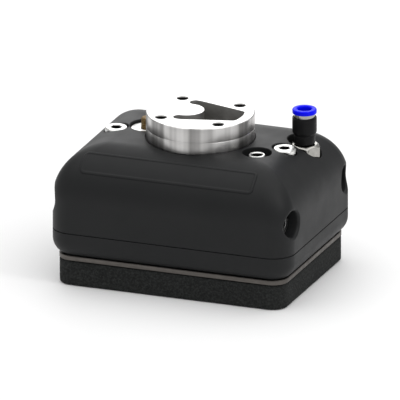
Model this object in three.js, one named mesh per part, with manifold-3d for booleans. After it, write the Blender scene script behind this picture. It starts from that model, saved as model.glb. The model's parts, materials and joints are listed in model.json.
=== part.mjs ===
// Vacuum area gripper: foam pad, valve plate, moulded housing, tool flange and air fitting.
// Millimetres, +Z up. The origin is the centre of the foam pad's lower face, +X runs along the long side.
import * as THREE from 'three';
import { mergeVertices } from 'three/addons/utils/BufferGeometryUtils.js';
import Module from 'manifold-3d';

const wasm = await Module();
wasm.setup();

// ---- Driving dimensions -------------------------------------------------------------------------
const GAP = 0.3; // clearance left between touching pieces

const PAD = { x: 141, y: 104, corner: 9.5, height: 15 };
const PLATE_THICKNESS = 3;
const PLATE_BOTTOM = PAD.height;
const PLATE_TOP = PLATE_BOTTOM + PLATE_THICKNESS;

const CELL = { columns: 4, rows: 3, pitchX: 34, pitchY: 32, width: 14, corner: 2 };
const VALVE = { seat: 2.6, chamber: 4.8, chamberHeight: 3.1, disc: 4.3, discHeight: 1.1, outlet: 1.8 };
const PLATE_SCREW = { head: 4.9, headHeight: 2.3, top: 28, hole: 2.8, sink: 5.6, sinkDepth: 2.7 };
const SEAL = { x: 133.8, y: 96.8, corner: 8, width: 1.6, height: 1.6 };

const HOUSING = { x: 149, y: 112, corner: 14, wall: 2.8, split: 32.8, top: 82, edge: 30, foot: 10 };
const SPLIT_GAP = 0.4;
const ROOF_CORNER = 0.8; // plan corner where the flat roof begins
const TRAY = { curveZ: 27.3, floorTop: 24.4, ledge: 28.7, rim: 3.3, wall: 6, corner: 9, ledgeCorner: 10.7 };
const FILTER = { bottom: 26.2, top: 26.8 };
const LID = { bottom: 29, top: 32, corner: 10.4 };
const OVER = 90; // a level above everything that is cut

const FLANGE = { radius: 31.5, top: 97.3, foot: 80.9, chamfer: 0.5, hub: 22, hubGap: 0.4, pocketDepth: 11 };
const FLANGE_BOLT = { circle: 50, radius: 3.2, depth: 12 };
const FLANGE_SEAT = { gap: 0.4, boss: 34, bossBottom: 76.7 };
const FLANGE_POCKET = {
  bossX: -8.5, boss: 10.2, outer: 17, tipAngle: 88.5, shoulderAngle: 72, endX: 24.3, endY: 8.5,
};

const BRIDGE = { bottom: 62, top: 70, x: 86, y: 48, corner: 4, tabX: 120, tabFront: -8, tabBack: 5, eye: 6 };
const PILLAR = { x: 34, y: 16, radius: 6.5, stud: 3.7, screw: 2.4, screwDepth: 12 };
const FLANGE_SCREW = {
  offset: 11.3, radius: 2.9, hole: 3.3, end: 80, head: 4.9, headHeight: 6, keyAcross: 5,
};

const SCREW = { shank: 3.9, hole: 4.4, head: 6.6, bore: 7.3, chamfer: 0.6 };
const CAP_HEAD = { height: 8, keyAcross: 6, keyDepth: 4 };
const LOW_HEAD = { height: 5.4, keyAcross: 5, keyDepth: 2.7 };
const TOP_SCREW = { x: 52, top: 81.4, boss: 10 };
const SIDE_SCREW = {
  y: 42.8, z: 51, face: 68, length: 12, inner: 40, bore: 8.2, rim: 9.4, rimStart: 72.6, boss: 10.6, wall: 2.6,
};
const LUG = { depth: 7, near: 34, far: 51, top: 58 };

const FITTING = { x: 57.4, y: 18.5, pocket: 9.9, floor: 65.5, wall: 2.5, tubeRadius: 4.1 };
const FITTING_BASE = {
  bottom: 51, thread: 6.5, corner: 9.4, across: 16.6, top: 78.7, spigot: 3.9, spigotTop: 83, bore: 3,
};
const FITTING_BODY = { bottom: 79.1, neck: 6.25, neckTop: 84.9, radius: 7.15, top: 95.1, bore: 6.35 };
const BAND = { radius: 6.05, bore: 5.4, bottom: 92.7, top: 97.4 };
const RELEASE = {
  neckBottom: 93.6, neck: 5.1, under: 98.9, skirt: 6.4, skirtBottom: 97.4, radius: 7.1, top: 100.1,
};
const SENSOR = {
  x: 40.4, y: -14.4, recess: 8.6, floor: 75, wall: 2.6, outer: 4.85, inner: 3.35, foot: 70.5, top: 80.6,
};
const SENSOR_PIN = { radius: 0.5, offset: 1.2, bottom: 73 };
const VENT = {
  x: -35.2, y: 7.6, recess: 10.5, floor: 76.9, wall: 2.5, top: 80.4, post: 4, postFoot: 74.7, postTop: 87,
};

const LABEL = { centreX: -2.5, width: 107, height: 15, angle: 49, proud: 0.5, corner: 3 };
const EJECTOR = { left: -44, right: 45.7, halfY: 9, bottom: 37, top: 54, bore: 4.5, portX: 15 };
const EJECTOR_AXIS = (EJECTOR.bottom + EJECTOR.top) / 2;
const DUCT_OUTER = 7;
const MANIFOLD = { left: 46, right: 67, front: -10, back: 31, top: 61.5, thread: 6.9, drilling: 2.5 };

const CORNERS = [
  { name: 'front_left', sx: -1, sy: -1 }, { name: 'front_right', sx: 1, sy: -1 },
  { name: 'rear_left', sx: -1, sy: 1 }, { name: 'rear_right', sx: 1, sy: 1 },
];
const ENDS = [-1, 1];

const FINE = 28; // sides of a large round
const SMALL = 16; // sides of a small round
const TINY = 10; // sides of a screw or a drilling

// ---- Materials ----------------------------------------------------------------------------------
function material(color, roughness, metalness) {
  return new THREE.MeshStandardMaterial({ color, roughness, metalness });
}
const foamBlack = material(0x232524, 0.95, 0);
const housingBlack = material(0x26282a, 0.6, 0);
const innerPlastic = material(0x4a4c4e, 0.6, 0);
const aluminium = material(0xb9bbbd, 0.35, 1);
const plateMetal = material(0x8d8781, 0.4, 1);
const steel = material(0xd0d0cf, 0.25, 1);
const darkSteel = material(0x5a5b5d, 0.4, 1);
const nickel = material(0xd8d5cc, 0.2, 1);
const fittingBlack = material(0x1d1e20, 0.45, 0);
const collarBlue = material(0x0a2be0, 0.35, 0);
const bronze = material(0xa9854a, 0.7, 1);
const rubber = material(0x1a1a1a, 0.9, 0);

// ---- Solids -------------------------------------------------------------------------------------
function signedVolume(positions, triangles) {
  let sum = 0;
  const a = new THREE.Vector3();
  const b = new THREE.Vector3();
  const c = new THREE.Vector3();
  for (let i = 0; i < triangles.length; i += 3) {
    a.fromArray(positions, triangles[i] * 3);
    b.fromArray(positions, triangles[i + 1] * 3);
    c.fromArray(positions, triangles[i + 2] * 3);
    sum += a.dot(b.cross(c));
  }
  return sum / 6;
}

function toSolid(geometry) {
  const bare = geometry.clone();
  bare.deleteAttribute('normal');
  bare.deleteAttribute('uv');
  const merged = mergeVertices(bare, 1e-4);
  const index = merged.index.array;
  const triangles = [];
  for (let i = 0; i < index.length; i += 3) {
    const [a, b, c] = [index[i], index[i + 1], index[i + 2]];
    if (a !== b && b !== c && c !== a) triangles.push(a, b, c);
  }
  const positions = new Float32Array(merged.attributes.position.array);
  if (signedVolume(positions, triangles) < 0) triangles.reverse();
  const mesh = new wasm.Mesh({ numProp: 3, vertProperties: positions, triVerts: new Uint32Array(triangles) });
  return new wasm.Manifold(mesh);
}

function toGeometry(solid) {
  const mesh = solid.getMesh();
  const geometry = new THREE.BufferGeometry();
  const positions = [];
  for (let i = 0; i < mesh.vertProperties.length; i += mesh.numProp) {
    positions.push(mesh.vertProperties[i], mesh.vertProperties[i + 1], mesh.vertProperties[i + 2]);
  }
  geometry.setAttribute('position', new THREE.Float32BufferAttribute(positions, 3));
  geometry.setIndex([...mesh.triVerts]);
  geometry.computeVertexNormals();
  return geometry;
}

function cut(body, ...tools) {
  return tools.reduce((rest, tool) => rest.subtract(tool), body);
}

function join(body, ...others) {
  return others.reduce((sum, other) => sum.add(other), body);
}

// A cylinder standing on z0, or a cone when the top radius differs.
function round(radius, z0, z1, x = 0, y = 0, sides = SMALL, topRadius = radius) {
  const geometry = new THREE.CylinderGeometry(topRadius, radius, z1 - z0, sides);
  geometry.rotateX(Math.PI / 2);
  geometry.translate(x, y, (z0 + z1) / 2);
  return toSolid(geometry);
}

// A cylinder lying along X.
function roundAlongX(radius, x0, x1, y, z, sides = SMALL, endRadius = radius) {
  const geometry = new THREE.CylinderGeometry(endRadius, radius, x1 - x0, sides);
  geometry.rotateZ(-Math.PI / 2);
  geometry.translate((x0 + x1) / 2, y, z);
  return toSolid(geometry);
}

function block(x0, x1, y0, y1, z0, z1) {
  const geometry = new THREE.BoxGeometry(x1 - x0, y1 - y0, z1 - z0);
  geometry.translate((x0 + x1) / 2, (y0 + y1) / 2, (z0 + z1) / 2);
  return toSolid(geometry);
}

// A turned piece about Z. The profile is a list of [radius, height].
function turned(profile, x = 0, y = 0, sides = SMALL) {
  const points = profile.map(([r, z]) => new THREE.Vector2(r, z));
  const first = profile[0];
  const last = profile[profile.length - 1];
  if (first[0] > 0 || last[0] > 0) points.push(new THREE.Vector2(first[0], first[1]));
  const geometry = new THREE.LatheGeometry(points, sides);
  geometry.rotateX(Math.PI / 2);
  geometry.translate(x, y, 0);
  return toSolid(geometry);
}

function turnedAlongX(profile, y, z, sides = SMALL) {
  const points = [...profile, profile[0]].map(([r, x]) => new THREE.Vector2(r, x));
  const geometry = new THREE.LatheGeometry(points, sides);
  geometry.rotateZ(-Math.PI / 2);
  geometry.translate(0, y, z);
  return toSolid(geometry);
}

function extruded(shape, z0, z1, curveSegments = 5, x = 0, y = 0) {
  const geometry = new THREE.ExtrudeGeometry(shape, { depth: z1 - z0, bevelEnabled: false, curveSegments });
  geometry.translate(x, y, z0);
  return toSolid(geometry);
}

function roundedRectangle(x, y, corner) {
  const [hx, hy] = [x / 2, y / 2];
  const shape = new THREE.Shape();
  shape.absarc(hx - corner, hy - corner, corner, 0, Math.PI / 2);
  shape.absarc(-hx + corner, hy - corner, corner, Math.PI / 2, Math.PI);
  shape.absarc(-hx + corner, -hy + corner, corner, Math.PI, Math.PI * 1.5);
  shape.absarc(hx - corner, -hy + corner, corner, Math.PI * 1.5, Math.PI * 2);
  return shape;
}

function sheet(x, y, corner, z0, z1) {
  return extruded(roundedRectangle(x, y, corner), z0, z1);
}

function hexagon(across, z0, z1, x = 0, y = 0) {
  return round(across / Math.sqrt(3), z0, z1, x, y, 6);
}

// One level of a lofted block: a rounded rectangle given by its half sizes.
function ring(halfX, halfY, corner, z, cornerSteps = 5) {
  const points = [];
  const centres = [[1, 1], [-1, 1], [-1, -1], [1, -1]];
  centres.forEach(([sx, sy], quarter) => {
    for (let step = 0; step <= cornerSteps; step += 1) {
      const angle = (quarter + step / cornerSteps) * Math.PI / 2;
      points.push(new THREE.Vector3(
        sx * (halfX - corner) + corner * Math.cos(angle),
        sy * (halfY - corner) + corner * Math.sin(angle), z));
    }
  });
  return points;
}

// A closed solid through rings of equal point counts, lowest first.
function lofted(rings) {
  const count = rings[0].length;
  const positions = rings.flat().flatMap((p) => [p.x, p.y, p.z]);
  const index = [];
  for (let level = 0; level + 1 < rings.length; level += 1) {
    for (let i = 0; i < count; i += 1) {
      const [a, b] = [level * count + i, level * count + ((i + 1) % count)];
      index.push(a, b, b + count, a, b + count, a + count);
    }
  }
  const top = (rings.length - 1) * count;
  for (let i = 1; i + 1 < count; i += 1) {
    index.push(0, i + 1, i);
    index.push(top, top + i, top + i + 1);
  }
  const geometry = new THREE.BufferGeometry();
  geometry.setAttribute('position', new THREE.Float32BufferAttribute(positions, 3));
  geometry.setIndex(index);
  return toSolid(geometry);
}

// ---- Pad and valve level ------------------------------------------------------------------------
function cellCentres() {
  const centres = [];
  for (let row = 0; row < CELL.rows; row += 1) {
    for (let column = 0; column < CELL.columns; column += 1) {
      centres.push([
        (column - (CELL.columns - 1) / 2) * CELL.pitchX,
        (row - (CELL.rows - 1) / 2) * CELL.pitchY,
      ]);
    }
  }
  return centres;
}

function pillarCentres() {
  return CORNERS.map(({ sx, sy }) => [sx * PILLAR.x, sy * PILLAR.y]);
}

// Clearance holes round the pillars, through everything between the plate and the lid.
function pillarHoles() {
  return pillarCentres().map(([x, y]) => round(PILLAR.radius + GAP, 0, OVER, x, y));
}

function foamPad() {
  const cell = roundedRectangle(CELL.width, CELL.width, CELL.corner);
  const holes = cellCentres().map(([x, y]) => extruded(cell, -1, PAD.height + 1, 2, x, y));
  return cut(sheet(PAD.x, PAD.y, PAD.corner, 0, PAD.height - GAP / 2), ...holes);
}

function valvePlate() {
  const seats = cellCentres().map(([x, y]) => round(VALVE.seat, PLATE_BOTTOM - 1, PLATE_TOP + 1, x, y, TINY));
  const { hole, sink, sinkDepth } = PLATE_SCREW;
  const sinks = pillarCentres().flatMap(([x, y]) => [
    round(hole, PLATE_BOTTOM - 1, PLATE_TOP + 1, x, y, TINY),
    round(sink, PLATE_BOTTOM, PLATE_BOTTOM + sinkDepth, x, y, TINY, hole),
  ]);
  return cut(sheet(PAD.x, PAD.y, PAD.corner, PLATE_BOTTOM + GAP / 2, PLATE_TOP), ...seats, ...sinks);
}

function plateScrew(x, y) {
  const bottom = PLATE_BOTTOM + GAP;
  const { head, headHeight, top } = PLATE_SCREW;
  const { screw } = PILLAR;
  return turned([
    [0, bottom], [head, bottom], [screw, bottom + headHeight], [screw, top], [0, top],
  ], x, y, TINY);
}

function valveDisc(x, y) {
  const bottom = PLATE_TOP + GAP;
  return round(VALVE.disc, bottom, bottom + VALVE.discHeight, x, y);
}

// A ring with the seal's outline, grown on both sides by a margin.
function sealRing(margin, z0, z1) {
  const outer = sheet(SEAL.x + 2 * margin, SEAL.y + 2 * margin, SEAL.corner + margin, z0, z1);
  const inset = SEAL.width + margin;
  return cut(outer, sheet(SEAL.x - 2 * inset, SEAL.y - 2 * inset, SEAL.corner - inset, z0 - 1, z1 + 1));
}

function plateSeal() {
  const bottom = PLATE_TOP + GAP;
  return sealRing(0, bottom, bottom + SEAL.height);
}

// ---- Housing ------------------------------------------------------------------------------------
// Lower tray: the foot curves in towards the valve plate, the inside holds the vacuum chamber.
function lowerTray() {
  const bottom = PLATE_TOP + GAP;
  const steps = 4;
  const rings = [];
  const lowest = Math.asin((bottom - TRAY.curveZ) / HOUSING.foot);
  for (let step = 0; step <= steps; step += 1) {
    const angle = lowest * (1 - step / steps);
    const inset = HOUSING.foot * (1 - Math.cos(angle));
    rings.push(ring(HOUSING.x / 2 - inset, HOUSING.y / 2 - inset, HOUSING.corner - inset,
      TRAY.curveZ + HOUSING.foot * Math.sin(angle)));
  }
  rings.push(ring(HOUSING.x / 2, HOUSING.y / 2, HOUSING.corner, HOUSING.split - SPLIT_GAP / 2));
  const { wall, corner, floorTop, rim, ledgeCorner, ledge } = TRAY;
  const chamber = sheet(HOUSING.x - 2 * wall, HOUSING.y - 2 * wall, corner, floorTop, OVER);
  const lidSeat = sheet(HOUSING.x - 2 * rim, HOUSING.y - 2 * rim, ledgeCorner, ledge, OVER);
  const valves = cellCentres().flatMap(([x, y]) => [
    round(VALVE.chamber, bottom - 1, bottom + VALVE.chamberHeight, x, y, TINY),
    round(VALVE.outlet, bottom, OVER, x, y, 6),
  ]);
  const groove = sealRing(GAP, bottom - 1, bottom + SEAL.height + GAP);
  return cut(lofted(rings), chamber, lidSeat, ...valves, ...pillarHoles(), groove);
}

function filterMesh() {
  const inset = TRAY.wall + GAP;
  const [x, y] = [HOUSING.x - 2 * inset, HOUSING.y - 2 * inset];
  return cut(sheet(x, y, TRAY.corner - GAP, FILTER.bottom, FILTER.top), ...pillarHoles());
}

function chamberLid() {
  const inset = TRAY.rim + GAP;
  const lid = sheet(HOUSING.x - 2 * inset, HOUSING.y - 2 * inset, LID.corner, LID.bottom, LID.top);
  return cut(lid, ...pillarHoles(), round(EJECTOR.bore, 0, OVER, EJECTOR.portX, 0));
}

// Domed block with the large edge round. Positive growth lies outside the housing's surface.
function domedBlock(growth, bottom, steps = 8) {
  const centreX = HOUSING.x / 2 - HOUSING.edge;
  const centreY = HOUSING.y / 2 - HOUSING.edge;
  const centreZ = HOUSING.top - HOUSING.edge;
  const radius = HOUSING.edge + growth;
  const corner = HOUSING.corner + growth;
  const rings = [ring(centreX + radius, centreY + radius, corner, bottom)];
  for (let step = 0; step <= steps; step += 1) {
    const angle = (step / steps) * Math.PI / 2;
    const reach = radius * Math.cos(angle);
    const shrunk = ROOF_CORNER + (corner - ROOF_CORNER) * Math.cos(angle);
    rings.push(ring(centreX + reach, centreY + reach, shrunk, centreZ + radius * Math.sin(angle)));
  }
  return lofted(rings);
}

// Blank raised panel on the front slope: the part of a slightly larger dome inside a slanted block.
function labelPanel() {
  const [depth, overlap, lowest] = [12, 8, 40];
  const shape = roundedRectangle(LABEL.width, LABEL.height, LABEL.corner);
  const geometry = new THREE.ExtrudeGeometry(shape, { depth, bevelEnabled: false, curveSegments: 4 });
  geometry.translate(0, 0, HOUSING.edge - overlap);
  geometry.rotateX(Math.PI / 2 - THREE.MathUtils.degToRad(LABEL.angle));
  geometry.translate(LABEL.centreX, -(HOUSING.y / 2 - HOUSING.edge), HOUSING.top - HOUSING.edge);
  return domedBlock(LABEL.proud, lowest).intersect(toSolid(geometry));
}

// A round hole for a side screw. It runs in from one end of the housing.
function sideHole({ sx, sy }, radius, from, to, endRadius = radius) {
  const y = sy * SIDE_SCREW.y;
  return sx > 0
    ? roundAlongX(radius, from, to, y, SIDE_SCREW.z, SMALL, endRadius)
    : roundAlongX(endRadius, -to, -from, y, SIDE_SCREW.z, SMALL, radius);
}

// Distance of the side pockets' floor from the middle.
const SIDE_SEAT = SIDE_SCREW.face - LOW_HEAD.height - GAP;

function shellBosses() {
  return [
    ...ENDS.map((sx) => round(TOP_SCREW.boss, BRIDGE.top + GAP, OVER, sx * TOP_SCREW.x, 0)),
    round(FLANGE_SEAT.boss, FLANGE_SEAT.bossBottom, OVER, 0, 0, FINE),
    round(FITTING.pocket + FITTING.wall, FITTING.floor - FITTING.wall, OVER, FITTING.x, FITTING.y),
    round(SENSOR.recess + SENSOR.wall, SENSOR.floor - SENSOR.wall, OVER, SENSOR.x, SENSOR.y),
    round(VENT.recess + VENT.wall, VENT.floor - VENT.wall, OVER, VENT.x, VENT.y),
    ...CORNERS.map((corner) => sideHole(corner, SIDE_SCREW.boss, SIDE_SEAT - SIDE_SCREW.wall, HOUSING.x)),
  ];
}

function shellPockets() {
  const screwSeat = TOP_SCREW.top - CAP_HEAD.height - GAP;
  const under = BRIDGE.bottom; // a level below the roof
  const { bore, rim, rimStart } = SIDE_SCREW;
  return [
    ...ENDS.flatMap((sx) => [
      round(SCREW.bore, screwSeat, OVER, sx * TOP_SCREW.x, 0),
      round(SCREW.hole, under, OVER, sx * TOP_SCREW.x, 0, TINY),
    ]),
    round(FITTING.pocket, FITTING.floor, OVER, FITTING.x, FITTING.y, FINE),
    round(MANIFOLD.thread, under, OVER, FITTING.x, FITTING.y),
    round(SENSOR.recess, SENSOR.floor, OVER, SENSOR.x, SENSOR.y),
    round(SENSOR.outer + GAP, under, OVER, SENSOR.x, SENSOR.y),
    round(VENT.recess, VENT.floor, OVER, VENT.x, VENT.y, FINE),
    round(VENT.post + GAP, under, OVER, VENT.x, VENT.y, TINY),
    round(FLANGE.radius + FLANGE_SEAT.gap, FLANGE.foot - GAP, OVER, 0, 0, 2 * FINE),
    round(FLANGE.hub + FLANGE.hubGap, under, OVER, 0, 0, FINE),
    ...CORNERS.flatMap((corner) => [
      sideHole(corner, bore, SIDE_SEAT, HOUSING.x),
      sideHole(corner, SCREW.hole, SIDE_SCREW.inner, HOUSING.x),
      sideHole(corner, bore, rimStart, HOUSING.x / 2 + GAP, rim),
    ]),
  ];
}

function upperShell() {
  const bottom = HOUSING.split + SPLIT_GAP / 2;
  const inside = cut(domedBlock(-HOUSING.wall, bottom - HOUSING.wall, 5), ...shellBosses());
  return cut(join(cut(domedBlock(0, bottom), inside), labelPanel()), ...shellPockets());
}

// ---- Frame inside the housing and tool flange ---------------------------------------------------
function pillar(x, y) {
  const bottom = PLATE_TOP + GAP;
  const top = BRIDGE.bottom - GAP;
  const hole = PILLAR.screw + GAP;
  const holeTop = bottom + PILLAR.screwDepth;
  return turned([
    [0, holeTop], [hole, holeTop], [hole, bottom], [PILLAR.radius, bottom],
    [PILLAR.radius, top], [PILLAR.stud, top], [PILLAR.stud, BRIDGE.top - 1], [0, BRIDGE.top - 1],
  ], x, y, TINY);
}

function flangeScrewCentres() {
  return CORNERS.map(({ sx, sy }) => [sx * FLANGE_SCREW.offset, sy * FLANGE_SCREW.offset]);
}

function bridgePlate() {
  const { bottom, top } = BRIDGE;
  const tab = block(-BRIDGE.tabX / 2, BRIDGE.tabX / 2, BRIDGE.tabFront, BRIDGE.tabBack, bottom, top);
  const hole = (radius, x, y) => round(radius, bottom - 1, top + 1, x, y, TINY);
  const holes = [
    ...flangeScrewCentres().map(([x, y]) => hole(FLANGE_SCREW.hole, x, y)),
    ...pillarCentres().map(([x, y]) => hole(PILLAR.stud + 2 * GAP, x, y)),
    ...ENDS.map((sx) => hole(SCREW.shank + 2 * GAP, sx * TOP_SCREW.x, 0)),
    hole(BRIDGE.eye, 0, 0),
  ];
  return cut(join(sheet(BRIDGE.x, BRIDGE.y, BRIDGE.corner, bottom, top), tab), ...holes);
}

function flangeScrew(x, y) {
  const { radius, end, head, headHeight, keyAcross } = FLANGE_SCREW;
  const under = BRIDGE.bottom - GAP;
  const foot = under - headHeight;
  const body = join(round(head, foot, under, x, y), round(radius, under - 1, end, x, y, TINY));
  return cut(body, hexagon(keyAcross, foot - 1, foot + headHeight / 2, x, y));
}

// Lightening pocket: a wide slot that closes round a half-moon boss.
function flangePocketShape() {
  const { bossX, boss, outer, endX, endY } = FLANGE_POCKET;
  const tip = THREE.MathUtils.degToRad(FLANGE_POCKET.tipAngle);
  const shoulder = THREE.MathUtils.degToRad(FLANGE_POCKET.shoulderAngle);
  const middle = (boss + outer) / 2;
  const tipRadius = (outer - boss) / 2;
  const tipX = bossX + middle * Math.cos(tip);
  const tipY = middle * Math.sin(tip);
  const endAngle = Math.atan2(endY, endX);
  const endRadius = Math.hypot(endX, endY);
  const shape = new THREE.Shape();
  shape.absarc(bossX, 0, boss, -tip, tip, false);
  shape.absarc(tipX, tipY, tipRadius, tip + Math.PI, tip, true);
  shape.absarc(bossX, 0, outer, tip, shoulder, true);
  shape.absarc(0, 0, endRadius, endAngle, -endAngle, true);
  shape.absarc(bossX, 0, outer, -shoulder, -tip, true);
  shape.absarc(tipX, -tipY, tipRadius, -tip, -tip - Math.PI, true);
  return shape;
}

function toolFlange() {
  const { radius, top, foot, chamfer, hub } = FLANGE;
  const sides = 48;
  const body = join(
    round(radius, foot, top - chamfer, 0, 0, sides),
    round(radius, top - chamfer, top, 0, 0, sides, radius - chamfer),
    round(hub, BRIDGE.top + GAP, foot + 1, 0, 0, FINE));
  const offset = FLANGE_BOLT.circle / 2 * Math.SQRT1_2;
  const boltHoles = CORNERS.map(({ sx, sy }) => (
    round(FLANGE_BOLT.radius, top - FLANGE_BOLT.depth, OVER + top, sx * offset, sy * offset)));
  const threads = flangeScrewCentres().map(([x, y]) => (
    round(FLANGE_SCREW.hole, BRIDGE.bottom, FLANGE_SCREW.end + 1, x, y, TINY)));
  const pocket = extruded(flangePocketShape(), top - FLANGE.pocketDepth, top + 1, 7);
  return cut(body, pocket, ...boltHoles, ...threads);
}

// ---- Fasteners ----------------------------------------------------------------------------------
// A socket head screw standing on its shank, the top of its head at the origin.
function socketScrew(length, { height, keyAcross, keyDepth }) {
  const { shank, head, chamfer } = SCREW;
  const profile = [
    [0, -height - length], [shank, -height - length], [shank, -height],
    [head, -height], [head, -chamfer], [head - chamfer, 0], [0, 0],
  ];
  return toGeometry(cut(turned(profile), hexagon(keyAcross, -keyDepth, 1)));
}

function topScrew(sx) {
  const geometry = socketScrew(TOP_SCREW.top - CAP_HEAD.height - BRIDGE.bottom - GAP, CAP_HEAD);
  geometry.translate(sx * TOP_SCREW.x, 0, TOP_SCREW.top);
  return toSolid(geometry);
}

function sideScrew({ sx, sy }) {
  const geometry = socketScrew(SIDE_SCREW.length, LOW_HEAD);
  geometry.rotateY(sx * Math.PI / 2);
  geometry.translate(sx * SIDE_SCREW.face, sy * SIDE_SCREW.y, SIDE_SCREW.z);
  return toSolid(geometry);
}

// Threaded block behind each side screw, standing on the chamber lid.
function coverLug(corner) {
  const outer = SIDE_SEAT - SIDE_SCREW.wall - GAP;
  const xs = [corner.sx * (outer - LUG.depth), corner.sx * outer].sort((a, b) => a - b);
  const ys = [corner.sy * LUG.near, corner.sy * LUG.far].sort((a, b) => a - b);
  const thread = sideHole(corner, SCREW.shank + GAP, SIDE_SCREW.inner, HOUSING.x);
  return cut(block(...xs, ...ys, LID.top + GAP, LUG.top), thread);
}

// ---- Vacuum generator ---------------------------------------------------------------------------
function ejectorBody() {
  const { left, right, halfY, bottom, top, bore, portX } = EJECTOR;
  const body = block(left, right, -halfY, halfY, bottom, top);
  const port = round(bore, bottom - 1, EJECTOR_AXIS, portX, 0, TINY);
  return cut(body, roundAlongX(bore, left - 1, right + 1, 0, EJECTOR_AXIS), port);
}

// Nozzle that narrows towards the jet. Its profile is [radius, x].
function ejectorNozzle() {
  return turnedAlongX([[1, 21], [2, 21], [4.2, 28], [4.2, 45], [2.5, 45], [1, 30]], 0, EJECTOR_AXIS, 12);
}

// Diffuser that takes up the jet and widens towards the outlet.
function ejectorDiffuser() {
  return turnedAlongX([[3.6, -43], [4.2, -43], [4.2, 8], [3, 8], [1.8, 0], [1.8, -12]], 0, EJECTOR_AXIS, 12);
}

function suctionDuct() {
  const [bottom, top] = [LID.top + GAP, EJECTOR.bottom - GAP];
  const { bore, portX } = EJECTOR;
  return turned([[bore, bottom], [DUCT_OUTER, bottom], [DUCT_OUTER, top], [bore, top]], portX, 0);
}

function manifoldBlock() {
  const { left, right, front, back, top, thread, drilling } = MANIFOLD;
  const body = block(left, right, front, back, LID.top + GAP, top);
  const socket = round(thread, FITTING_BASE.bottom - 1, OVER, FITTING.x, FITTING.y);
  const drop = round(drilling, EJECTOR_AXIS, top, FITTING.x, FITTING.y, 12);
  const feed = roundAlongX(drilling, left - 1, FITTING.x, 0, EJECTOR_AXIS, 12);
  const cross = new THREE.CylinderGeometry(drilling, drilling, FITTING.y - front + 1, 12);
  cross.translate(FITTING.x, (FITTING.y + front - 1) / 2, EJECTOR_AXIS);
  return cut(body, socket, drop, feed, toSolid(cross));
}

// ---- Ports on top -------------------------------------------------------------------------------
// Screwed base of the fitting: a hexagon with turned corners over a thread, a spigot on top.
function fittingBase() {
  const { bottom, thread, corner, across, top, spigot, spigotTop, bore } = FITTING_BASE;
  const foot = FITTING.floor + GAP;
  const [chamferIn, chamferDown] = [2.2, 1.4];
  const body = turned([
    [bore, bottom], [thread, bottom], [thread, foot], [corner, foot], [corner, top - chamferDown],
    [corner - chamferIn, top], [spigot, top], [spigot, spigotTop], [bore, spigotTop],
  ], FITTING.x, FITTING.y, 24);
  return body.intersect(hexagon(across, bottom - 1, spigotTop + 1, FITTING.x, FITTING.y));
}

function fittingBody() {
  const { bottom, neck, neckTop, radius, top, bore } = FITTING_BODY;
  const { tubeRadius } = FITTING;
  const [stop, stopTop, stopFoot, step, seat] = [3.2, 84.3, 83.3, 86, 88];
  const narrow = tubeRadius + 0.1;
  return turned([
    [narrow, bottom], [neck, bottom], [neck, neckTop], [radius, step], [radius, top], [bore, top],
    [bore, seat], [narrow, seat], [narrow, stopTop], [stop, stopTop], [stop, stopFoot], [narrow, stopFoot],
  ], FITTING.x, FITTING.y, 20);
}

function fittingSeal() {
  const [middle, half] = [89.2, 0.9];
  const [lip, centre, outer] = [4.3, 5.2, 6.05];
  return turned([[lip, middle], [centre, middle - half], [outer, middle], [centre, middle + half]],
    FITTING.x, FITTING.y, 12);
}

function fittingCollet() {
  return turned([[4.6, 90.5], [6, 90.5], [6, 92.3], [5.2, 92.3]], FITTING.x, FITTING.y, 12);
}

function fittingBand() {
  const { radius, bore, bottom, top } = BAND;
  return turned([[bore, bottom], [radius, bottom], [radius, top], [bore, top]], FITTING.x, FITTING.y);
}

function releaseRing() {
  const { neckBottom, neck, under, skirt, skirtBottom, radius, top } = RELEASE;
  const { tubeRadius } = FITTING;
  const chamfer = 0.4;
  return turned([
    [tubeRadius, neckBottom], [neck, neckBottom], [neck, under], [skirt, under], [skirt, skirtBottom],
    [radius, skirtBottom], [radius, top - chamfer], [radius - chamfer, top], [tubeRadius, top],
  ], FITTING.x, FITTING.y, 20);
}

// Ring between two radii whose outer top edge is chamfered.
function collar(inner, outer, bottom, top, x, y, sides = SMALL) {
  const chamfer = 0.4;
  return turned([
    [inner, bottom], [outer, bottom], [outer, top - chamfer], [outer - chamfer, top], [inner, top],
  ], x, y, sides);
}

function sensorPort() {
  return collar(SENSOR.inner, SENSOR.outer, SENSOR.foot, SENSOR.top, SENSOR.x, SENSOR.y);
}

function sensorInsert() {
  const { radius, offset, bottom } = SENSOR_PIN;
  const height = 5.8;
  const body = round(SENSOR.inner - GAP, SENSOR.foot, SENSOR.foot + height, SENSOR.x, SENSOR.y);
  const pins = CORNERS.map(({ sx, sy }) => (
    round(radius, bottom, SENSOR.top, SENSOR.x + sx * offset, SENSOR.y + sy * offset, 6)));
  return cut(body, ...pins);
}

function ventCap() {
  return collar(VENT.post + GAP, VENT.recess - GAP, VENT.floor + GAP, VENT.top, VENT.x, VENT.y, 24);
}

function ventPost() {
  const { post, postFoot, postTop, x, y } = VENT;
  const chamfer = 0.8;
  return turned([
    [0, postFoot], [post, postFoot], [post, postTop - chamfer], [post - chamfer, postTop], [0, postTop],
  ], x, y);
}

// ---- Assembly -----------------------------------------------------------------------------------
const gripper = new THREE.Group();

function add(name, solid, look) {
  const mesh = new THREE.Mesh(toGeometry(solid), look);
  mesh.name = name;
  gripper.add(mesh);
}

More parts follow.
